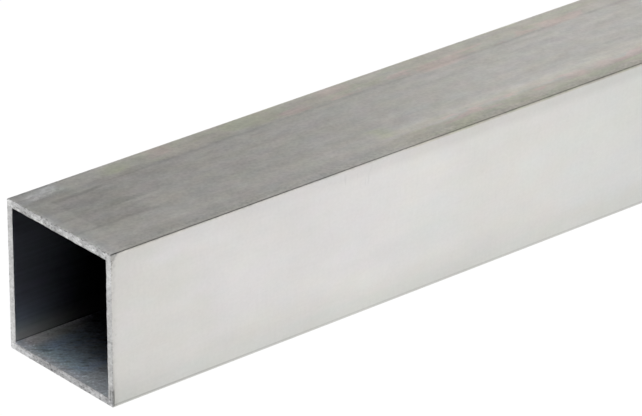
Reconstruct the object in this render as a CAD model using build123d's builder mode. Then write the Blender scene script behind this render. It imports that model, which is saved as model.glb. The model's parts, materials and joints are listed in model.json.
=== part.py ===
from build123d import *
import os

# A square aluminium tube: one extruded length with sharp-looking corners, sawn off square
# at both ends and lightly deburred. It has no weld seam, so it is a single solid.
#
# Frame: +X runs along the tube and +Z is up. The origin is at the middle of the length,
# on the face that the tube lies on. Sizes are in millimetres.

side = 25.4  # across the flats, outside
wall = 1.2  # wall thickness, the same on all four sides
length = 304.8  # between the two sawn ends

outside_corner_radius = 0.2  # left by the extrusion die
inside_corner_radius = 0.2  # left by the mandrel inside the die
edge_break = 0.1  # deburred corner round each sawn end, outside and inside

bore = side - 2 * wall  # across the flats, inside

os.makedirs("parts", exist_ok=True)

# The section is drawn on one sawn end, with its centre half a side above the floor.
sawn_end = Plane(origin=(-length / 2, 0, side / 2), x_dir=(0, 1, 0), z_dir=(1, 0, 0))

with BuildPart() as square_tube:
    with BuildSketch(sawn_end) as section:
        RectangleRounded(side, side, outside_corner_radius)
        RectangleRounded(bore, bore, inside_corner_radius, mode=Mode.SUBTRACT)
    extrude(amount=length)

    sawn_faces = square_tube.faces().filter_by(Axis.X)
    chamfer(sawn_faces.edges(), edge_break)

square_tube.part.label = "square_tube"
export_step(square_tube.part, "parts/square_tube.step")

print("square tube, volume in mm3:", round(square_tube.part.volume, 1))
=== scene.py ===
# %% [markdown]
# # A square aluminium tube
#
# This lesson dresses a length of thin-walled square tube. What is made here stands exactly where
# that model stands and keeps its size. The CAD tube is perfect, with dead flat faces and clean
# square ends. The real one was pushed through a die, dragged over a table, cut off with a circular
# saw and handled, and those marks are what this lesson adds.

# %% Load the CAD tube and read its size
import json
import math

import bmesh
import bpy
from mathutils import Matrix, Vector, noise

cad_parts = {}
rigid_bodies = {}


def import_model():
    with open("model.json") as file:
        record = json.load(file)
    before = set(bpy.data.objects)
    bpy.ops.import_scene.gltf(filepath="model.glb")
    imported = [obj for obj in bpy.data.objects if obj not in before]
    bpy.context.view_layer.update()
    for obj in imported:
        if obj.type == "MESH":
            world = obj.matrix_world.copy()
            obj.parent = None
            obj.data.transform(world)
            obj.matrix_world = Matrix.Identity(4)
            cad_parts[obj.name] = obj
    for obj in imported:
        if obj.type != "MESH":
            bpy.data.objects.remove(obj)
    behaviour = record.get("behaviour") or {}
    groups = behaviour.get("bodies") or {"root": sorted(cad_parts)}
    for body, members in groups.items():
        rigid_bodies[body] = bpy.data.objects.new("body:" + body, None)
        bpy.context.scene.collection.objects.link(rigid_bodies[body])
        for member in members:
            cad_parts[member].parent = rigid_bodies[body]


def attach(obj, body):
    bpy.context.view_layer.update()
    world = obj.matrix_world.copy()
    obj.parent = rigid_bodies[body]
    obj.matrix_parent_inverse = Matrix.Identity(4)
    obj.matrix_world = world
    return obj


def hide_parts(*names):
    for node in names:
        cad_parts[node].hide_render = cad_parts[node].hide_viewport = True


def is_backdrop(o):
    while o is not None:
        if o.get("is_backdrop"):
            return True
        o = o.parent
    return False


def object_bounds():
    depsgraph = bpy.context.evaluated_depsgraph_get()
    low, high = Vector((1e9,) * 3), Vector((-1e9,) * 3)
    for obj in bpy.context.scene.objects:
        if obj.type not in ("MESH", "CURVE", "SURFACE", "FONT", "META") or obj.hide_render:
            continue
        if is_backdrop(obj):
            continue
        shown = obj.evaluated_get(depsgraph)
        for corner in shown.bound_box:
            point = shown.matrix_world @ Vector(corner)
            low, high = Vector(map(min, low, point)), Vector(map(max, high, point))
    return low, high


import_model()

mm = 0.001
cad_low, cad_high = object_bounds()
length = cad_high.x - cad_low.x
side = cad_high.z - cad_low.z
axis_height = side / 2
print(f"tube: {length / mm:.1f} mm long and {side / mm:.1f} mm square")

# %% [markdown]
# ## The camera
#
# A long lens a good way off keeps the tube's edges almost parallel, so that the far part doesn't
# shrink away. The camera could be aimed with a constraint, but its turn is written out here as
# three angles: how far round the tube it stands, how high, and a slight roll, as of a tripod that
# isn't level.

# %% Stand the camera off the near sawn end
camera_azimuth = math.radians(-40.5174)
camera_elevation = math.radians(25.8164)
camera_roll = math.radians(0.2864)
camera_place = Vector((-0.51696, -0.48684, 0.32231))

camera_data = bpy.data.cameras.new("camera")
camera_data.sensor_width = 36.0
camera_data.lens = 254.70
camera_data.clip_start, camera_data.clip_end = 0.01, 20.0
camera = bpy.data.objects.new("camera", camera_data)
bpy.context.scene.collection.objects.link(camera)

towards_camera = Vector((
    math.sin(camera_azimuth) * math.cos(camera_elevation),
    -math.cos(camera_azimuth) * math.cos(camera_elevation),
    math.sin(camera_elevation),
))
upright = (-towards_camera).to_track_quat("-Z", "Y").to_matrix().to_4x4()
roll = Matrix.Rotation(camera_roll, 4, "Z")
camera.matrix_world = Matrix.Translation(camera_place) @ upright @ roll
bpy.context.scene.camera = camera
near_end_middle = Vector((-length / 2, 0, axis_height))
print("camera stands", round((camera_place - near_end_middle).length, 3), "m from the sawn end")

# %% [markdown]
# ## Floor, sky and lamps
#
# Bare metal has next to no colour of its own: what we see on it is the studio. So the studio comes
# before the metal. The floor is a white light table, which glows a little more than paper does and
# so takes no shadow. It could be lit from above instead, but then every lamp that shapes the metal
# would change the background too. Above the horizon the sky falls off quickly to a dim grey, and
# that is what lets the top of the tube come out darker than its front.

# %% Lay a glowing floor
floor_reach = 30.0
floor_drop = 0.05 * mm

floor_mesh = bpy.data.meshes.new("floor")
sheet = bmesh.new()
bmesh.ops.create_grid(sheet, x_segments=1, y_segments=1, size=floor_reach)
sheet.to_mesh(floor_mesh)
sheet.free()
floor = bpy.data.objects.new("floor", floor_mesh)
floor.location.z = -floor_drop
bpy.context.scene.collection.objects.link(floor)
floor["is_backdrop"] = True

light_table = bpy.data.materials.new("light_table")
light_table.use_nodes = True
paper = light_table.node_tree.nodes["Principled BSDF"]
paper.inputs["Base Color"].default_value = (0.02, 0.02, 0.02, 1)
paper.inputs["Roughness"].default_value = 1.0
paper.inputs["Specular IOR Level"].default_value = 0.0
paper.inputs["Emission Color"].default_value = (1, 1, 1, 1)
paper.inputs["Emission Strength"].default_value = 1.0
floor_mesh.materials.append(light_table)
print("floor:", 2 * floor_reach, "m square, just under the tube")

# %% Close it in with a dim sky
studio = bpy.data.worlds.new("studio")
bpy.context.scene.world = studio
studio.use_nodes = True
sky_nodes, sky_links = studio.node_tree.nodes, studio.node_tree.links
direction = sky_nodes.new("ShaderNodeTexCoord")
height_only = sky_nodes.new("ShaderNodeSeparateXYZ")
fall_off = sky_nodes.new("ShaderNodeValToRGB")
horizon, dim = fall_off.color_ramp.elements
horizon.position, horizon.color = 0.06, (1, 1, 1, 1)
dim.position, dim.color = 0.2, (0.08, 0.08, 0.08, 1)
sky_links.new(direction.outputs["Generated"], height_only.inputs[0])
sky_links.new(height_only.outputs["Z"], fall_off.inputs[0])
sky_links.new(fall_off.outputs["Color"], sky_nodes["Background"].inputs["Color"])

bpy.context.scene.view_settings.view_transform = "Standard"
print("sky: white up to", round(math.degrees(math.asin(horizon.position)), 1), "degrees, then dim")

# %% [markdown]
# Five soft boxes do the rest. A big one hangs over the sawn end and shines down into the bore. One
# stands in front and one behind. Two small ones lie low beyond the far end, where the top face
# mirrors them, so that face brightens slowly along its length. A lamp's power is worked out from
# how bright its cloth should look, which stays the same when the lamp is made bigger.

# %% Hang the soft boxes
def soft_box(name, place, aim, size, glow):
    """A square lamp at a place, turned to a point, whose cloth looks as bright as the glow says."""
    data = bpy.data.lights.new(name, "AREA")
    data.shape = "SQUARE"
    data.size = size
    data.energy = glow * math.pi * size ** 2
    lamp = bpy.data.objects.new(name, data)
    place, aim = Vector(place), Vector(aim)
    turn = (aim - place).to_track_quat("-Z", "Y").to_matrix().to_4x4()
    lamp.matrix_world = Matrix.Translation(place) @ turn
    lamp.visible_camera = False
    bpy.context.scene.collection.objects.link(lamp)
    print(f"{name}: {size} m square, {data.energy:.2f} W")


near_half = (-0.09, 0, axis_height)
far_half = (-0.03, 0, 0.02)


def round_the_end(azimuth, elevation, distance=0.7):
    """A place that far from the tube's near half, at an azimuth from +X and an elevation."""
    level = math.cos(math.radians(elevation)) * distance
    return (near_half[0] + level * math.cos(math.radians(azimuth)),
            level * math.sin(math.radians(azimuth)),
            axis_height + distance * math.sin(math.radians(elevation)))


soft_box("overhead", round_the_end(130, 75), near_half, 0.6, 4.59)
soft_box("front", round_the_end(315, 30), near_half, 0.5, 0.96)
soft_box("behind", round_the_end(60, 20), near_half, 0.3, 0.35)
soft_box("low_beyond", (0.23, 0.25, 0.12), far_half, 0.15, 0.46)
soft_box("high_beyond", (0.35, 0.35, 0.28), far_half, 0.20, 0.39)

# %% [markdown]
# ## The tube
#
# Aluminium tube like this is an extrusion: hot metal is pushed through a ring-shaped slot, and
# comes out as one seamless length. Solidify on a box would give a wall too, but the slot is the
# truer start, because it says the wall and both corner radii in one drawing. So the section is
# drawn once, as a ring of four-sided faces, and then pushed out along X.
#
# The two rounded squares of the ring lie in one plane, where bridge_loops can't tell which way a
# face should go. The inner one is pulled forward while they are bridged, then pushed back.

# %% Draw the section
wall = 1.2 * mm
outside_radius = 0.2 * mm
inside_radius = 0.2 * mm
rim_break = 0.04 * mm
corner_segments = 6
saw_depth = 0.06 * mm
mill_skin, sawn_end, bore_skin = 0, 1, 2

tube = bmesh.new()
die_plane = (Matrix.Translation((-length / 2 + saw_depth, 0, axis_height))
             @ Matrix.Rotation(math.pi / 2, 4, "Y"))


def rounded_square(width, radius):
    """Draws the outline of a square with rounded corners in the die's plane."""
    plate = bmesh.ops.create_grid(tube, x_segments=1, y_segments=1, size=width / 2,
                                  matrix=die_plane)["verts"]
    bmesh.ops.bevel(tube, geom=plate, offset=radius, offset_type="OFFSET", affect="VERTICES",
                    segments=corner_segments, profile=0.5, material=-1)
    outline = [v for f in tube.faces for v in f.verts]
    bmesh.ops.delete(tube, geom=list(tube.faces), context="FACES_ONLY")
    return outline


rounded_square(side, outside_radius)
slot_inside = rounded_square(side - 2 * wall, inside_radius)
bmesh.ops.translate(tube, verts=slot_inside, vec=(side, 0, 0))
bmesh.ops.bridge_loops(tube, edges=list(tube.edges))
bmesh.ops.translate(tube, verts=slot_inside, vec=(-side, 0, 0))
section_area = sum(f.calc_area() for f in tube.faces)
print("section:", len(tube.faces), "faces,", round(section_area / mm ** 2, 1), "mm2")

# %% Push the section out along X
pushed = bmesh.ops.extrude_face_region(tube, geom=list(tube.faces), use_keep_orig=True)["geom"]
bmesh.ops.translate(tube, verts=[v for v in pushed if isinstance(v, bmesh.types.BMVert)],
                    vec=(length - 2 * saw_depth, 0, 0))
bmesh.ops.recalc_face_normals(tube, faces=tube.faces)
print("tube:", len(tube.faces), "faces,", round(tube.calc_volume() / mm ** 3), "mm3 of metal")

# %% [markdown]
# Each face is now given its finish by where it lies. The saw leaves a tiny chamfer of torn metal
# on both rims of a cut, so the edges where two finishes meet are bevelled by less than a tenth of
# a millimetre. That is small, but it catches the light all round the mouth.

# %% Give the faces their finish and break the rims
def from_axis(place):
    """How far a point is from the tube's middle line, measured squarely."""
    return max(abs(place.y), abs(place.z - axis_height))


for f in tube.faces:
    if abs(f.normal.x) > 0.5:
        f.material_index = sawn_end
    elif from_axis(f.calc_center_median()) > side / 2 - wall / 2:
        f.material_index = mill_skin
    else:
        f.material_index = bore_skin

rims = [e for e in tube.edges if len({f.material_index for f in e.link_faces}) == 2]
bmesh.ops.bevel(tube, geom=rims, offset=rim_break, offset_type="OFFSET", affect="EDGES",
                segments=2, profile=0.5, material=sawn_end)
print("rims broken:", len(rims), "edges")

# %% [markdown]
# The marks of the saw and the die are relief, so the mesh needs points to move. A subdivision
# would make the short faces of the corners finer still. Planes that slice right through give an
# even grid instead: every fifth of a millimetre across the faces, and along the tube in slices
# that are thin near the ends, where the work is, and far apart in the middle.

# %% Slice the tube into a fine grid
grid_step = 0.2 * mm
ring_gap, ring_growth, widest_gap = 0.12 * mm, 1.35, 8 * mm
on_plane = 0.00001 * mm


def slice_at(place, facing):
    """Cuts every face that a plane crosses."""
    bmesh.ops.bisect_plane(tube, geom=[*tube.verts, *tube.edges, *tube.faces], dist=on_plane,
                           plane_co=place, plane_no=facing)


steps = round(side / grid_step)
for i in range(1, steps):
    offset = (i / steps - 0.5) * side
    slice_at((0, offset, 0), (0, 1, 0))
    slice_at((0, 0, axis_height + offset), (0, 0, 1))

depth, gap = saw_depth + rim_break, ring_gap
while depth + gap < length / 2:
    depth, gap = depth + gap, min(gap * ring_growth, widest_gap)
    for end in (-1, 1):
        slice_at((end * (length / 2 - depth), 0, 0), (1, 0, 0))
print("gridded:", len(tube.faces), "faces")

# %% [markdown]
# ## Relief from the die and the saw
#
# Four things moved the metal. The puller left the walls a few hundredths out of flat, with one
# shallow drag line along the top. The saw left curved furrows across each end, because its teeth
# go round a centre well outside the tube. It pushed a ragged lip of burr into the bore. And
# handling wore the outer rims and left one nick in the cut.
#
# Displace modifiers could do this from textures, but one pass over the points, with Perlin noise
# from mathutils, keeps each mark tied to a real depth and lets every move point inwards, so that
# the tube never grows past its size.

# %% Shape a fade and a ripple
def fade(distance, width):
    """1 at no distance, falling smoothly to 0 at the width."""
    share = max(0.0, 1.0 - abs(distance) / width)
    return share * share * (3 - 2 * share)


def ripple(place, pitch, seed):
    """Perlin noise from 0 to 1, with a pitch in metres."""
    return 0.5 + 0.5 * noise.noise(place / pitch + Vector((seed, 7 * seed, 3 * seed)))


print("half a fade is", fade(0.5, 1.0))

# %% Describe the saw's furrows and its burr
blade_centre = Vector((-74 * mm, axis_height - 96 * mm))
furrow_pitch, furrow_depth = 0.95 * mm, 0.1 * mm
wander_pitch, wander_turns = 4 * mm, 1.6
coarse_tear, fine_tear = 0.9 * mm, 0.5 * mm
burr_reach, burr_width, burr_run = 0.11 * mm, 0.35 * mm, 0.5 * mm
burr_wave, burr_tooth = 1.9 * mm, 0.6 * mm


def furrow(place):
    """How far the blade went below the highest ridge at a point of the cut, from 0 to 1."""
    reach = (Vector((place.y, place.z)) - blade_centre).length
    wander = ripple(place, wander_pitch, 11) * wander_turns
    teeth = 0.5 + 0.5 * math.sin(2 * math.pi * (reach / furrow_pitch + wander))
    return 0.2 * teeth + 0.4 * ripple(place, coarse_tear, 5) + 0.4 * ripple(place, fine_tear, 23)


def burr(place):
    """How far the lip hangs in by a point: about -0.5 where it tore away, 0.5 where it folded."""
    wave = ripple(place, burr_wave, 31) - 0.5
    tooth = ripple(place, burr_tooth, 47) - 0.5
    return 1.2 * wave + 0.5 * tooth


print("blade centre:", round(blade_centre.length / mm), "mm from the foot of the tube")

# %% Move the points
mouth = side / 2 - wall
out_of_flat, sag_pitch, sag_stretch = 0.03 * mm, 9 * mm, 12
rim_wear, rim_wear_pitch, rim_wear_run = 0.015 * mm, 0.6 * mm, 0.4 * mm
drag_line_place, drag_line_width, drag_line_depth = 7.7 * mm, 0.45 * mm, 0.012 * mm
top_layer = 0.05 * mm
nick_height, nick_width, nick_depth = 10.75 * mm, 0.3 * mm, 0.08 * mm

for v in tube.verts:
    place = v.co.copy()
    depth = length / 2 - abs(place.x)
    inwards = 1 if place.x < 0 else -1
    reach = from_axis(place)
    across = Vector((place.y, place.z - axis_height))
    from_mouth = reach - mouth
    at_lip = fade(from_mouth, burr_width)

    # The furrows of the cut, and the nick in its back wall.
    if depth < saw_depth + 0.5 * rim_break:
        v.co.x += inwards * furrow_depth * (furrow(place) - 0.5)
        v.co.x -= inwards * 0.5 * saw_depth * burr(place) * at_lip
        if place.x < 0 and place.y > mouth:
            nick = fade(place.z - nick_height, nick_width) * fade(from_mouth, wall / 2)
            v.co.x += nick_depth * nick

    # The lip of burr, the walls out of flat and the worn rims, all squarely to the middle line.
    lip = 0.0
    if from_mouth < wall / 2:
        lip = burr_reach * burr(Vector((inwards, place.y, place.z)))
        lip *= at_lip * fade(depth, burr_run)
    sag = out_of_flat * ripple(Vector((place.x / sag_stretch, place.y, place.z)), sag_pitch, 3)
    sag *= fade(min(abs(across.x), abs(across.y)), side / 2 - outside_radius)
    if reach > side / 2 - outside_radius:
        sag += rim_wear * ripple(place, rim_wear_pitch, 61) * fade(depth, rim_wear_run)
    pull = (sag + lip) / reach
    v.co.y -= across.x * pull
    v.co.z -= across.y * pull

    # The drag line.
    if place.z > side - top_layer:
        v.co.z -= drag_line_depth * fade(place.y - drag_line_place, drag_line_width)
print("points moved:", len(tube.verts))

# %% Turn the finished bmesh into the tube body
for f in tube.faces:
    f.smooth = True
for e in tube.edges:
    e.smooth = len({f.material_index for f in e.link_faces}) == 1
tube_mesh = bpy.data.meshes.new("tube_body")
tube.to_mesh(tube_mesh)
tube.free()
tube_body = bpy.data.objects.new("tube_body", tube_mesh)
bpy.context.scene.collection.objects.link(tube_body)
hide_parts("square_tube")
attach(tube_body, "root")
print("tube body:", len(tube_mesh.polygons), "faces")

# %% [markdown]
# ## Writing finishes as sums
#
# A finish on metal is mostly arithmetic: how much of this streak, less that stain. Chaining Math
# nodes by hand hides the sum, so a small class wraps a socket and lets Python's own operators add
# the nodes. A Recipe holds one material and makes every other kind of node with one method, which
# sets the node up first and then fills its sockets.

# %% Wrap a socket
class Dial:
    """A value on a node's socket, so that sums with it read as plain Python."""

    def __init__(self, recipe, socket):
        self.recipe, self.socket = recipe, socket

    def __add__(self, other):
        return self.recipe.sum("ADD", self, other)

    def __sub__(self, other):
        return self.recipe.sum("SUBTRACT", self, other)

    def __rsub__(self, other):
        return self.recipe.sum("SUBTRACT", other, self)

    def __mul__(self, other):
        return self.recipe.sum("MULTIPLY", self, other)

    def __abs__(self):
        return self.recipe.sum("ABSOLUTE", self)

    __radd__, __rmul__ = __add__, __mul__


print("dials add, subtract and multiply")

# %% Wrap a material
class Recipe:
    """One material, and the ways to add nodes to it."""

    def __init__(self, name):
        self.material = bpy.data.materials.new(name)
        self.material.use_nodes = True
        self.tree = self.material.node_tree
        self.shader = self.tree.nodes["Principled BSDF"]
        metres = self.node("ShaderNodeTexCoord", output="Object")
        self.place = self.node("ShaderNodeVectorMath", {"operation": "SCALE"}, {
            "Vector": metres, "Scale": 1 / mm})
        self.x, self.y, self.z = (
            self.node("ShaderNodeSeparateXYZ", inputs=[self.place], output=i) for i in range(3))

    def node(self, kind, settings=None, inputs=(), output=0):
        """Adds a node, sets it up, fills its sockets, and returns one of its outputs."""
        made = self.tree.nodes.new(kind)
        for setting, value in (settings or {}).items():
            setattr(made, setting, value)
        for key, value in inputs.items() if isinstance(inputs, dict) else enumerate(inputs):
            self.feed(made.inputs[key], value)
        return Dial(self, made.outputs[output])

    def feed(self, socket, value):
        """Links a dial to a socket, or sets the socket to a plain value."""
        if isinstance(value, Dial):
            self.tree.links.new(value.socket, socket)
        else:
            socket.default_value = value

    def sum(self, operation, *values):
        """Adds one Math node."""
        return self.node("ShaderNodeMath", {"operation": operation}, values)

    def cap(self, value):
        """The value, but never above 1."""
        return self.sum("MINIMUM", value, 1.0)

    def rise(self, value, start, end):
        """0 at the start, 1 at the end, and smooth between; the start may be the higher."""
        return self.node("ShaderNodeMapRange", {"interpolation_type": "SMOOTHSTEP"},
                         {"Value": value, "From Min": start, "From Max": end})

    def between(self, value, low, high, soft):
        """1 between two values and 0 outside them, with soft shoulders."""
        return self.rise(value, low - soft, low + soft) * self.rise(value, high + soft, high - soft)

    def grain(self, pitch, seed, detail=2.0, turn=0.0):
        """Noise around 0, with lumps sized in mm along X, Y and Z and turned about Z in degrees."""
        shift = tuple(seed * step * p for step, p in zip((31.7, 17.3, 23.9), pitch))
        stretched = self.node("ShaderNodeMapping", {"vector_type": "TEXTURE"}, {
            "Vector": self.place, "Location": shift,
            "Rotation": (0, 0, math.radians(turn)), "Scale": pitch})
        return self.lumps(stretched, detail)

    def lumps(self, place, detail):
        """Noise around 0 at a place that is already stretched."""
        return self.node("ShaderNodeTexNoise", inputs={
            "Vector": place, "Scale": 1.0, "Detail": detail}) - 0.5

    def blend(self, first, second, share):
        """Mixes two colours."""
        return self.node("ShaderNodeMix", {"data_type": "RGBA"}, {
            0: share, 6: first, 7: second}, output=2)

    def tinge(self, colour, first, second, share):
        """Multiplies a colour by a mix of two faint casts."""
        cast = self.blend(first, second, share)
        return self.node("ShaderNodeVectorMath", {"operation": "MULTIPLY"}, [colour, cast])

    def shade(self, colour, amount):
        """Brightens or darkens a colour."""
        return self.node("ShaderNodeVectorMath", {"operation": "SCALE"}, {
            "Vector": colour, "Scale": amount})

    def finish(self, colour, roughness, height, relief, metallic=1.0):
        """Feeds the shader and hands the material to the tube."""
        self.feed(self.shader.inputs["Base Color"], colour)
        self.feed(self.shader.inputs["Roughness"], roughness)
        self.feed(self.shader.inputs["Metallic"], metallic)
        bumps = self.node("ShaderNodeBump", inputs={"Height": height, "Distance": relief})
        self.feed(self.shader.inputs["Normal"], bumps)
        tube_mesh.materials.append(self.material)
        print(self.material.name, "has", len(self.tree.nodes), "nodes")


print("recipes ready")

# %% [markdown]
# ## The mill skin
#
# Mill finish is what the die leaves. It has fine drawn lines along the tube, some broader streaks
# where the die was worn, and cloudy patches from cooling. Every face shares that pattern, and the
# top has more of it, because it was dragged. Then each face gets its own marks. They are placed in
# millimetres from the sawn end and from the back or the top edge, with a little noise added to the
# distances so that no mark ends in a ruled line.

# %% Patterns of the mill skin
skin = Recipe("mill_skin")
side_mm, half_mm, half_length_mm = side / mm, side / mm / 2, length / mm / 2
drawn_lines = skin.grain((40, 0.28, 0.28), 1, detail=3)
die_streaks = skin.grain((120, 1.6, 1.6), 2, detail=3)
clouds = skin.grain((14, 7, 7), 3, detail=2)
mottle = skin.grain((3.4, 2.0, 2.0), 4, detail=3)
wobble = skin.grain((5, 2.5, 2.5), 5, detail=2)
dashes = skin.grain((8, 1.0, 1.0), 6, detail=3)
speckle = skin.grain((0.6, 0.55, 0.5), 10, detail=1)
scrapes = skin.grain((1.3, 0.75, 0.7), 17, detail=3)
tint = skin.grain((5, 2.8, 2.8), 18, detail=2)
warmth = skin.grain((6, 3.2, 3.2), 19, detail=2)
print("mill skin: lines, streaks, clouds, mottle, dashes, speckle, scrapes and two tints")

# %% Measure the distances and lay the general finish
# All in mm: near from the near end, along as near but wobbly, back from the back edge, and down
# from the top.
past_end = 400
near = skin.x + half_length_mm
from_end = skin.sum("MINIMUM", near, half_length_mm - skin.x)
on_top = skin.rise(skin.z, side_mm - 0.45, side_mm - 0.15)
on_front = skin.rise(skin.y, 0.4 - half_mm, 0.15 - half_mm)
along = near + wobble * 3
back = half_mm - skin.y + wobble * 0.5
down = side_mm - skin.z + wobble * 0.5
gritty = speckle * (0.07 + on_top * (0.23 - 0.11 * skin.rise(near, 25, 95)))
streaked = (gritty + dashes * (0.015 + 0.14 * on_top) + mottle * (0.05 + 0.30 * on_top)
            + clouds * 0.14 + die_streaks * (0.01 + 0.16 * on_top) + drawn_lines * 0.03)


def patch(across, start, end, low, high, soft=0.6):
    """A soft-edged patch between two distances along the tube and two across the face."""
    return skin.between(along, start, end, 3 * soft) * skin.between(across, low, high, soft)


print("general finish: the same patterns all over, and more of them on top")

# %% [markdown]
# The top face carries most of the wear. A dark line runs the whole length where the die scored it.
# Close to the sawn end a darker patch shows where the tube was held in a vice. Beside it, towards
# the back corner, is a pale scuff, and between that and the cut the corner is duller. Most marks
# are masks from 0 to 1, and how strong each is comes in only where they are added up.

# %% Marks by the sawn end of the top face
vice_right = skin.rise(near + dashes * 12 + wobble * 5, 16, 12)
held = skin.rise(near + wobble, 4.0, 4.9) * vice_right * skin.between(back, 5.6, 16.8, 0.4)
jaw_top = skin.rise(near + wobble, 3.4, 4.6) * vice_right * skin.between(back, 5.3, 6.2, 0.3)
jaw_middle = skin.between(back, 11.9, 12.4, 0.3) * skin.rise(along, 22, 17)
jaw_front = skin.between(back, 16.4, 17.0, 0.3) * (
    skin.rise(along, 16, 13) + 0.4 * skin.rise(along, 70, 40))
scraped = 0.3 + 0.7 * skin.rise(scrapes + speckle * 0.5, -0.08, 0.1)
scuff = patch(back + along * 0.15, 1.2, 8.6, 1.55, 4.1, 0.4) * scraped
dull_corner = skin.rise(near + back * 0.15 + wobble * 2, 2.0, 0.9) * skin.rise(back, 6.6, 4.6)
rubbed = skin.rise(back, 4.4, 3.4) * skin.rise(along, 10, 7.5)
pale_column = patch(back, 14.5, 18.5, 12.5, 16.5, 0.5)
dark_specks = patch(back, 0.5, 9, 0.3, 4.4, 0.4) * skin.rise(speckle, 0.05, 0.14)
print("top face, by the end: vice marks, scuff, dull corner, specks")

# %% [markdown]
# Farther along there is a smudge in the middle of the face, and the top is lighter or darker in
# long strips: a pale band near the front, a broad one behind it, and a strip along the back edge
# that is pale at first and darker later.

# %% Marks along the top face
scored = patch(back, 16, past_end, 4.7, 5.3, 0.45) * skin.rise(dashes, -0.25, 0.1)
smudge = patch(back, 50, 82, 10, 13, 1.5) * skin.rise(dashes + mottle, -0.12, 0.1)
pale_band = patch(back, 57, past_end, 19.3, 20.9, 0.6)
broad_band = skin.between(back, 18.0, 21.4, 1.2) * skin.rise(near, 2, 5)
back_strip = skin.rise(back, 4.4, 3.4) * (0.03 - 0.09 * skin.rise(along, 60, 85))
back_lip = skin.rise(back, 2.2, 1.2) * skin.between(along, 16, 74, 3) * 0.10
clamp_dirt = skin.rise(along, 30, 20) * 0.07 + skin.between(along, 68, 103, 5) * 0.04
clamped = (skin.between(back, 3.6, 9.2, 0.6) * clamp_dirt
           + skin.between(back, 3.0, 9.0, 0.6) * skin.rise(along, 6, 4) * 0.05)
fresh_lip = (skin.rise(back, 16, 18) * skin.rise(along, 5, 3.5) * 0.08
             + patch(back, 1.0, 2.4, 22, 24.6, 0.3) * 0.12)
pale_marks = patch(back, 14, 27, 20.2, 22.5) * 0.05 + patch(back, 26, 38, 15.6, 18) * 0.05
darker_front_strip = (skin.rise(back, 22.8, 23.6) * skin.rise(near, 55, 85) * 0.11
              + patch(back, 40, 56, 21.5, 26) * 0.04)
pale_far = skin.rise(back, 10, 18) * skin.rise(along, 60, 95) * 0.04
print("top face, along it: scored line, smudge, bands and strips")

# %% Add up the marks on the top face
top_marks = (scuff * 0.16 - dull_corner * 0.08 - dark_specks * 0.13
             - rubbed * (0.08 + skin.rise(near, 1.9, 1.3) * 0.05)
             - clamped + fresh_lip + pale_marks + pale_column * 0.05 + pale_band * 0.05
             + broad_band * 0.08 + back_strip + back_lip - darker_front_strip + pale_far
             - scored * 0.16 - held * 0.12 - jaw_top * 0.10 - (jaw_middle + jaw_front) * 0.07
             - smudge * 0.06)
print("top face: marks added up with", len(skin.tree.nodes), "nodes so far")

# %% [markdown]
# The top also has a film of oil and oxide, in two strips: along the back edge and, farther from
# the end, along the front one. A film this thin shows interference colours, as on a puddle. It is
# straw where it is thin and pink where it is thicker, so each strip has both, in separate flecks.

# %% Straw film on the top face
back_film = skin.rise(back, 4.9, 3.7) * skin.rise(along, 18, 28)
front_film = skin.rise(back, 20.9, 22.0) * skin.rise(along, 55, 62)
straw_flecks = skin.rise(skin.grain((5, 1.8, 1.8), 9, detail=1), -0.04, 0.1)
straw_film = (back_film * straw_flecks * 0.5 + patch(back, 16.5, 20.5, 0.6, 3.6)
              + patch(back, 41, 48, 0.2, 3.2) + patch(back, 57, 60, 17, 20.5)
              + front_film * straw_flecks * 0.8)
print("top face: straw film")

# %% Pink film on the top face
pink_flecks = skin.rise(skin.grain((4.5, 1.4, 1.4), 14, detail=1), 0.0, 0.12)
pink_strip = skin.between(back, 2.6, 4.8, 0.6) * skin.rise(along, 45, 55) * pink_flecks
pink_film = (patch(back, 26, 30, 0.5, 3.0) * 0.7 + patch(back, 51, 56, 2.8, 4.6)
             + patch(back, 79, 88, 3.2, 5.8) + patch(back, 106, 114, 3.2, 5.2)
             + pink_strip * 0.8 + patch(back, 60, past_end, 20.4, 22.6) * pink_flecks * 1.2
             + patch(back, 95, 99, 20.5, 22.5) + patch(back, 102, 106, 20.5, 22.5)
             + patch(back, 60, 66, 0.5, 2.5) * 0.5)
print("top face: pink film")

# %% [markdown]
# The front face is the cleanest. It is a little duller towards the sawn end, and darker along its
# foot, where painted shade stands for the floor's shadow under the tube, mirrored in the metal. It
# has a few short upright scratches from the next tube in the bundle, and changes tint in big soft
# clouds, from warm by the end, through lilac, to a cooler grey far along, with green in places.

# %% Marks on the front face
uprights = skin.grain((0.5, 20, 3.5), 7, detail=2)
scratched = patch(down, 42, 52, 0.8, 3.6) * skin.rise(uprights, 0.06, 0.14)
pale_spot = patch(down, 61, 68, 3.5, 7.5, 1.2)
# Painted shade: the front face darkens towards its foot, standing for the floor's shadow under the
# tube as the metal mirrors it.
painted_foot_shade = skin.rise(down, 18, 25) * (0.09 - 0.04 * skin.rise(near, 66, 80))
dull_head = skin.rise(down, 3.5, 0.5) + skin.rise(down, 2.8, 1.4) * skin.rise(near, 38, 60)
front_marks = (pale_spot * 0.03 + uprights * 0.03 + skin.between(along, 40, 70, 8) * 0.03
               - skin.rise(along, 26, 0) * 0.07 + skin.between(along, 4, 16, 2) * 0.02
               - painted_foot_shade - dull_head * 0.05 - scratched * 0.06
               - skin.rise(near, 96, 106) * 0.03)
print("front face: scratches, painted foot shade, dull head")

# %% Clouds of tint on the front face
cloud_edge = near + clouds * 50
lilac_cloud = skin.between(cloud_edge, 10, 62, 5) * skin.rise(down + clouds * 20, 20, 15)
cool_cloud = skin.rise(cloud_edge, 86, 98)
green_cloud = patch(down, 58, 70, 9, 19, 2) + patch(down, 92, 140, 12.5, 21.5, 1.5)
foot_tint = skin.rise(down, 22.2, 23.2)
print("front face: lilac, cool and green clouds")
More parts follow.
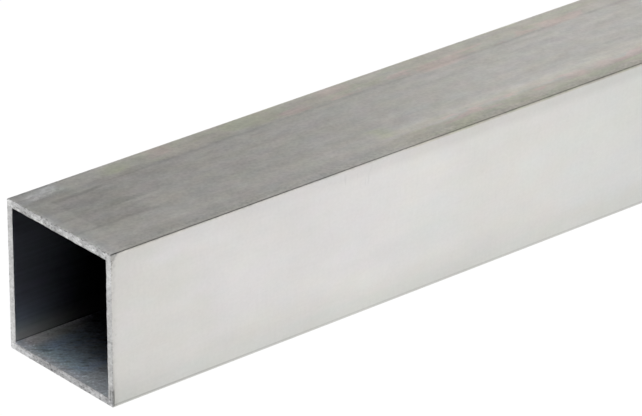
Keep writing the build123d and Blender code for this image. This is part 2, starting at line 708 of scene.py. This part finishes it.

# %% [markdown]
# A thin darker line runs along the front edge of the top, stronger towards the sawn end. Along the
# foot of the front face a thin line of painted shade stands for the floor's shadow under the tube,
# mirrored in the metal, and it too is stronger by the end. Just beside the top's line the metal is
# rubbed bright, and so is the top's back edge away from the cut; near the cut that edge is specked
# with dirt. The last millimetre before the cut is stained by cutting oil and specked with chips,
# most of all in the corners.

# %% Lines along the edges: dirt, painted shade and a darker line
front_gap, back_gap, foot_gap = half_mm + skin.y, half_mm - skin.y, skin.z
# A thin darker line along the front edge of the top, stronger towards the sawn end.
edge_line = (skin.between(front_gap, 0.10, 0.23, 0.05) * on_top
             * (0.66 - 0.54 * skin.rise(near, 25, 80)))
edge_shine = skin.between(front_gap, 0.45, 0.85, 0.12) * on_top * (0.08 * skin.rise(near, 60, 35))
back_shine = skin.between(back_gap, -0.1, 0.35, 0.12) * on_top * skin.rise(near, 12, 18) * 0.08
back_dirt = (skin.between(back_gap, 0.1, 0.55, 0.1) * on_top
             * skin.rise(near + wobble * 3, 17, 14)
             * (0.03 + 0.22 * skin.rise(speckle, -0.02, 0.08)))
# Painted shade: a thin dark line along the foot of the front face, for the floor's shadow under the
# tube.
foot_shade_line = (skin.between(foot_gap, 0.28, 0.54, 0.08) * on_front
             * (0.24 - 0.10 * skin.rise(near, 10, 45)))
edge_dirt_and_shade = edge_line - edge_shine - back_shine + back_dirt + foot_shade_line
print("edges: three lines of grime, two bright strips")

# %% Stain and chips by the cut
chips = skin.rise(skin.grain((0.5, 0.6, 0.6), 8, detail=1), 0.04, 0.12)
stain = skin.rise(from_end + wobble * 1.2, 1.2, 0.2)
rim_chips = skin.rise(from_end, 0.4, 0.12) * chips
corner_stain = (skin.rise(near + down * 0.6 + wobble * 2, 2.6, 0.8) * (0.07 + chips * 0.15)
                + skin.rise(near + down * 0.8, 1.9, 0.9) * 0.22) * on_front
low_down = skin.rise(down, 14, 24) + 1.6 * skin.between(down, 22.4, 24.8, 0.4)
foot_stain = skin.between(near, 0, 0.35, 0.12) * low_down * on_front
specks = skin.rise(skin.grain((0.6, 0.9, 0.9), 20, detail=1), 0.06, 0.16)
rim_specks = skin.rise(from_end, 1.0, 0.3) * specks * on_top
# Everything that darkens the skin: dirt, stain and chips by the cut, the darker top edge line, and
# the painted shade along the foot.
dirt_and_shade = (edge_dirt_and_shade + stain * (0.03 + chips * 0.08) + rim_chips * (0.08 + 0.26 * on_top)
         + rim_specks * 0.18 + corner_stain + foot_stain * 0.24)
print("by the cut: stain, chips and specks")

# %% [markdown]
# Aluminium's own grey differs a little from face to face and from cloud to cloud. Each grey is
# laid over the ones before it, and the films come after the greys. Two faint casts, green to rosy
# and blue to gold, keep any part of the skin from being one flat colour.

# %% Mix the greys and films of the skin
top_grey, end_grey = (0.679, 0.662, 0.624, 1), (0.690, 0.678, 0.651, 1)
lilac, cool = (0.693, 0.678, 0.667, 1), (0.676, 0.678, 0.650, 1)
straw, pink, olive = (0.662, 0.667, 0.548, 1), (0.752, 0.656, 0.610, 1), (0.692, 0.664, 0.586, 1)
bare_grey, green_grey = (0.662, 0.662, 0.650, 1), (0.678, 0.678, 0.662, 1)
foot_grey = (0.678, 0.678, 0.648, 1)
rosy_cast, green_cast = (1.017, 0.993, 1, 1), (0.983, 1.007, 1, 1)
gold_cast, blue_cast = (1, 1, 0.965, 1), (1, 1, 1.035, 1)
metal = skin.blend(end_grey, lilac, lilac_cloud)
metal = skin.blend(metal, cool, cool_cloud)
metal = skin.blend(metal, green_grey, skin.cap(green_cloud))
metal = skin.blend(metal, foot_grey, foot_tint)
metal = skin.blend(metal, top_grey, on_top)
wiped_end = skin.rise(near + wobble, 2.8, 0.6) * (1 - 0.5 * skin.between(back, 3.5, 8, 1))
bared = skin.sum("MAXIMUM", rubbed, wiped_end)
metal = skin.blend(metal, bare_grey, bared * on_top)
olive_film = back_film * 0.6 + front_film + pale_band * 0.6
metal = skin.blend(metal, olive, skin.cap(olive_film) * on_top)
metal = skin.blend(metal, straw, skin.cap(straw_film) * on_top)
metal = skin.blend(metal, pink, skin.cap(pink_film) * on_top)
metal = skin.tinge(metal, green_cast, rosy_cast, 0.5 + tint * (1.3 + 1.2 * on_top))
metal = skin.tinge(metal, blue_cast, gold_cast, 0.5 + warmth * (0.85 + 1.1 * on_top))
print("mill skin: colours mixed")

# %% Put the mill skin together
edge_mottle = speckle * skin.between(front_gap, 0.4, 1.8, 0.3) * on_top * 0.25
marked = (top_marks - front_film * 0.10) * on_top + front_marks * on_front
brightness = (1 + streaked + edge_mottle + marked) * (1 - dirt_and_shade)
skin.finish(
    colour=skin.shade(metal, brightness),
    roughness=0.33 + drawn_lines * 0.06 + clouds * 0.04 + stain * 0.1 + scuff * on_top * 0.1,
    height=drawn_lines,
    relief=0.004 * mm,
)

# %% [markdown]
# ## The sawn ends
#
# A sawn face is brighter and rougher than the skin. The furrows are in the mesh already. What is
# too fine for it goes into the finish: scratches that follow the same arcs, torn spots, and flecks
# where the burr folded over. The arcs are noise stretched along the blade's path: across them it
# reads the distance to the blade's centre, along them the place on the face.

# %% Patterns of the saw
sawn = Recipe("sawn_end")
blade_mm = (0, blade_centre.x / mm, blade_centre.y / mm)
flat_place = sawn.node("ShaderNodeVectorMath", {"operation": "MULTIPLY"}, [sawn.place, (0, 1, 1)])
blade_reach = sawn.node("ShaderNodeVectorMath", {"operation": "DISTANCE"},
                        [flat_place, blade_mm], output="Value")
sweep = (sawn.z * 0.6 - sawn.y * 0.8) * 0.6
arc_place = sawn.node("ShaderNodeCombineXYZ", inputs=[blade_reach * 2.6, sweep, sawn.x * 0.1])
arcs = sawn.lumps(arc_place, 3.0)
torn = sawn.grain((1, 0.7, 0.7), 11, detail=3)
patches = sawn.grain((3, 2.0, 2.0), 12, detail=2)
pits = sawn.rise(sawn.grain((0.6, 0.65, 0.32), 13, detail=1), 0.06, 0.14)
flecks = sawn.rise(sawn.grain((0.6, 0.75, 0.35), 15, detail=1), 0.05, 0.14)
upright_lines = sawn.grain((1, 0.22, 5), 16, detail=2)
print("saw: arcs, torn spots, patches, pits, flecks and upright lines")

# %% Tell the four walls and the two rims apart
wall_mm = wall / mm
bore_side, skin_side = 1.6, 0.9
squarely = sawn.sum("MAXIMUM", abs(sawn.y), abs(sawn.z - half_mm))
outer_rim = sawn.rise(squarely, half_mm - 0.25, half_mm - 0.05)
inner_rim = sawn.rise(squarely, half_mm - 0.95, half_mm - wall_mm)
low_wall = sawn.rise(sawn.z, bore_side, skin_side)
level_wall = sawn.rise(abs(sawn.z - half_mm), half_mm - bore_side, half_mm - skin_side)
front_wall = sawn.rise(sawn.y, bore_side - half_mm, skin_side - half_mm)
back_wall = sawn.rise(sawn.y, half_mm - bore_side, half_mm - skin_side)
high_wall = sawn.rise(sawn.z, side_mm - bore_side, side_mm - skin_side)
print("cut: walls", skin_side, "to", bore_side, "mm in, two rims")

# %% [markdown]
# The blade didn't cut all round alike. Three of the walls have stretches that came out brighter
# or duller, given here by where they start and end, in mm from the back or from the foot. The nick
# is painted darker, as painted shade in its dent, and at the bottom front corner two lines show
# where the last of the metal tore off.

# %% Spots along each wall
from_back = half_mm - sawn.y


def spot(wall_mask, distance, start, end, amount):
    """One stretch of a wall that the saw left brighter or duller."""
    return wall_mask * sawn.between(distance, start, end, 0.6) * amount


top_spots = (spot(high_wall, from_back, -1, 3.1, 0.28)
             + spot(high_wall, from_back, 7.4, 9.4, 0.12)
             - spot(high_wall, from_back, 9.4, 14.5, 0.15)
             + spot(high_wall, from_back, 16, 18, 0.14)
             + spot(high_wall, from_back, 20.2, 24, 0.14))
foot_spots = (spot(low_wall, from_back, -1, 3.1, 0.26)
              + spot(low_wall, from_back, 3.1, 5.2, 0.12)
              - spot(low_wall, from_back, 5.4, 13.2, 0.14)
              - spot(low_wall, from_back, 15.9, 17.8, 0.08)
              + spot(low_wall, from_back, 20.2, 23, 0.14))
front_spots = (spot(front_wall, sawn.z, 20.2, 24.5, 0.16)
               + spot(front_wall, sawn.z, 20.4, 22.2, 0.08)
               - spot(front_wall, sawn.z, 5, 7.5, 0.08)
               - spot(front_wall, sawn.z, 1.2, 3.6, 0.10)
               - spot(front_wall, sawn.z, 9, 13, 0.03)
               + upright_lines * front_wall * sawn.rise(sawn.z, 6, 3) * 0.5)
print("cut: spots on the top, foot and front walls")

# %% The nick and the torn corner
nick_mm, half_nick = nick_height / mm, 0.18
# Painted shade in the nick's dent.
painted_nick_shade = (sawn.between(sawn.z, nick_mm - half_nick, nick_mm + half_nick, 0.12)
             * sawn.rise(sawn.y, half_mm - 0.6, half_mm - 0.9))
torn_inside = (sawn.between(sawn.y, 0.45 - half_mm, 0.68 - half_mm, 0.08)
               * sawn.between(sawn.z, 0.9, 2.8, 0.4))
torn_rim = sawn.between(sawn.y, 0.02 - half_mm, 0.2 - half_mm, 0.08) * (
    sawn.between(sawn.z, 0.5, 2.8, 0.4) + 0.4 * sawn.rise(sawn.z, 12, 6))
print("cut: nick", round(nick_mm, 2), "mm up, torn corner at the foot")

# %% Put the sawn finish together
cut_metal, cool_metal = (0.512, 0.512, 0.508, 1), (0.500, 0.500, 0.506, 1)
patchy = 0.4 + 0.5 * level_wall + 0.3 * high_wall + 0.2 * back_wall
pitted = 0.12 + 0.22 * level_wall + 0.06 * high_wall
# Painted shade: the cut darkens towards its inner rim, by the bore, and in the nick.
cut_brightness = (1 + arcs * 0.7 + torn * 0.65 + patches * patchy
                  + flecks * (0.10 + 0.14 * level_wall) - pits * pitted - outer_rim * pits * 0.3
                  + top_spots + foot_spots + front_spots + upright_lines * back_wall * 0.2
                  - painted_nick_shade * 0.28 - (torn_inside + torn_rim) * 0.5
                  - inner_rim * 0.10 - low_wall * 0.11 + back_wall * 0.17 + front_wall * 0.08)
sawn.finish(
    colour=sawn.shade(sawn.blend(cut_metal, cool_metal, low_wall), cut_brightness),
    roughness=0.5 + torn * 0.3 + arcs * 0.2,
    height=arcs + torn * 0.5,
    relief=0.02 * mm,
)

# %% [markdown]
# ## The bore
#
# Inside, the mandrel left the same drawn lines, and nothing has polished them. Near each mouth a
# dull film of dust and cutting oil lies on the floor of the bore, which makes it less like metal
# there and more like grey paint, with bluish stains where the oil dried. That is why Metallic
# varies here: a film scatters the light from above, where clean metal would look black.

# %% Patterns and distances in the bore
bore = Recipe("bore_skin")
inner_depth = bore.sum("MINIMUM", bore.x + half_length_mm, half_length_mm - bore.x)
bore_lines = bore.grain((30, 0.4, 0.4), 21, detail=3)
bore_clouds = bore.grain((5, 3, 3), 22, detail=3)
wiped = bore.grain((1.9, 0.7, 0.7), 23, detail=4, turn=-40)
grit = bore.grain((0.45, 0.45, 0.45), 24, detail=2)
from_wall = half_mm - wall_mm - bore.y
on_floor = bore.rise(bore.z, wall_mm + 0.32, wall_mm + 0.14)
on_wall = 1 - on_floor
wall_foot = bore.rise(bore.z, 12, 1.5) * on_wall
# A darker line along the foot of each wall, just above the seam.
seam_dark_line = bore.between(bore.z, wall_mm + 0.24, wall_mm + 0.42, 0.05)
print("bore: lines, clouds, wipe marks, grit, seam")

# %% [markdown]
# The dust blew in from the mouth, so it thins with depth, and it was swept up against the back
# wall, where it reaches farther in. A little of it clings to the walls, most at their foot. Oil
# dried on it in smears and blots, drawn out the way a rag once wiped them.

# %% Lay the dust
dust = ((0.65 * bore.rise(inner_depth, 15, 2) + 0.35 * bore.rise(inner_depth, 6, 0))
        * (1 + bore_clouds * 0.8))
dust_shape = (0.93 + 0.12 * bore.between(inner_depth, 2.8, 6, 0.8)
              - 0.35 * bore.rise(inner_depth, 6, 7.5) * bore.rise(from_wall, 8, 10.5))
swept_up = ((0.6 * bore.rise(from_wall, 3.2, 0.8) + 0.4 * bore.rise(from_wall, 7.5, 2.5))
            * bore.rise(inner_depth, -0.5, 5) * bore.rise(inner_depth, 16, 10.5))
foot_dust = 0.22 * dust + 0.08 * bore.rise(inner_depth, 2, 6) * bore.rise(inner_depth, 13, 8)
wall_dust = (0.045 * bore.rise(inner_depth, 0.5, 3.5) * bore.rise(inner_depth, 17, 12)
             + wall_foot * foot_dust)
film = on_floor * (dust * dust_shape + swept_up * 1.15) + on_wall * wall_dust
print("bore: dust, swept dust, dust on the wall")

# %% Spill the oil
blue_zone = (on_floor * bore.rise(inner_depth, 0.4, 2.3) * bore.rise(inner_depth, 14, 9.5)
             * bore.between(from_wall, 3.0, 14.5, 1.6))
smears = bore.grain((3.4, 0.9, 0.9), 26, detail=3, turn=-40)
oil = blue_zone * bore.rise(smears + wiped * 0.4, 0.0, 0.12)
blot_lumps = bore.rise(bore.grain((2.2, 1.0, 1.0), 27, detail=2, turn=-40), 0.04, 0.16)
blots = on_floor * blot_lumps * bore.between(from_wall, 2.5, 18, 1)
pale_grit = bore.rise(grit + wiped * 0.5, 0.08, 0.2) * bore.rise(inner_depth, 4.5, 1) * on_floor
dark_oil = (on_floor * bore.between(inner_depth, 1.6, 5.2, 0.8)
            * bore.between(from_wall, 2.2, 5.2, 0.7))
print("bore: smears, blots and a dark stain of oil, pale grit")

# %% Mix the colours of the bore
clean_metal, dusty_grey = (0.560, 0.590, 0.640, 1), (0.605, 0.64, 0.68, 1)
swept_grey, dusty_teal = (0.645, 0.64, 0.635, 1), (0.515, 0.64, 0.69, 1)
dusty_blue, oily_blue = (0.505, 0.64, 0.78, 1), (0.40, 0.52, 0.68, 1)
greenish, mauve = (0.96, 1.02, 0.97, 1), (1.03, 0.98, 1.04, 1)
warm, cold = (1.05, 1, 0.9, 1), (1, 1, 1.09, 1)
swept_zone = on_floor * bore.rise(from_wall, 5.0, 1.5) * bore.rise(inner_depth, 0.6, 2.5)
dust_colour = bore.blend(dusty_grey, swept_grey, swept_zone)
blue_dust = bore.blend(dusty_teal, dusty_blue, bore.rise(inner_depth, 1, 4.5))
dust_colour = bore.blend(dust_colour, blue_dust, blue_zone)
bore_metal = bore.blend(clean_metal, dust_colour, bore.cap(film))
bore_metal = bore.blend(bore_metal, oily_blue, oil * 0.6)
bore_metal = bore.tinge(bore_metal, greenish, mauve, 0.5 + bore_clouds * 1.6)
wall_tinged = bore.tinge(bore_metal, warm, cold, bore.rise(bore.z, 2.4, 6))
bore_metal = bore.blend(bore_metal, wall_tinged, on_wall)
print("bore: colours mixed")

# %% Put the bore finish together
# Painted shade: the walls of the bore are darkened, more near their top and deeper in, less at
# their foot.
painted_wall_shade = on_wall * (0.28 + 0.10 * bore.rise(inner_depth, 4, 10) + 0.22 * bore.rise(bore.z, 17, 23)
                      - 0.25 * bore.rise(bore.z, 6, 2.5))
# A painted highlight along the floor by the back wall, where the rounded seam would catch the
# light.
painted_seam_highlight = on_floor * bore.rise(from_wall, 0.8, 0.2)
# Painted light on the floor of the bore near the mouth.
painted_mouth_light = on_floor * bore.rise(inner_depth, 4.5, 2.5) * bore.rise(from_wall, 4.5, 6.5)
# Painted shade deeper in the bore.
painted_depth_shade = bore.rise(inner_depth, 6, 17)
bore_brightness = (1 + bore_lines * 0.3 + wiped * (0.1 + 0.7 * on_floor) + grit * on_floor * 0.8
                   + pale_grit * 0.25 + smears * on_floor * 0.5 + painted_seam_highlight * 0.35
                   + painted_mouth_light * 0.08 - oil * 0.2 - dark_oil * 0.18 - blots * 0.26
                   - seam_dark_line * 0.5 - painted_wall_shade - painted_depth_shade * 0.6)
bore.finish(
    colour=bore.shade(bore_metal, bore_brightness),
    roughness=0.34 + film * 0.15,
    height=bore_lines + wiped * 0.5,
    relief=0.006 * mm,
    metallic=1 - film * 0.36,
)

# %% [markdown]
# ## Check the size
#
# Everything above pushed inwards, so the dressed tube should measure the same as the CAD tube or a
# hair less.

# %% Compare the two boxes
low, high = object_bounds()
shrunk = [round(((b - a) - (d - c)) / mm, 3) for a, b, c, d in zip(cad_low, cad_high, low, high)]
print("smaller than the CAD tube, in mm along X, Y and Z:", shrunk)
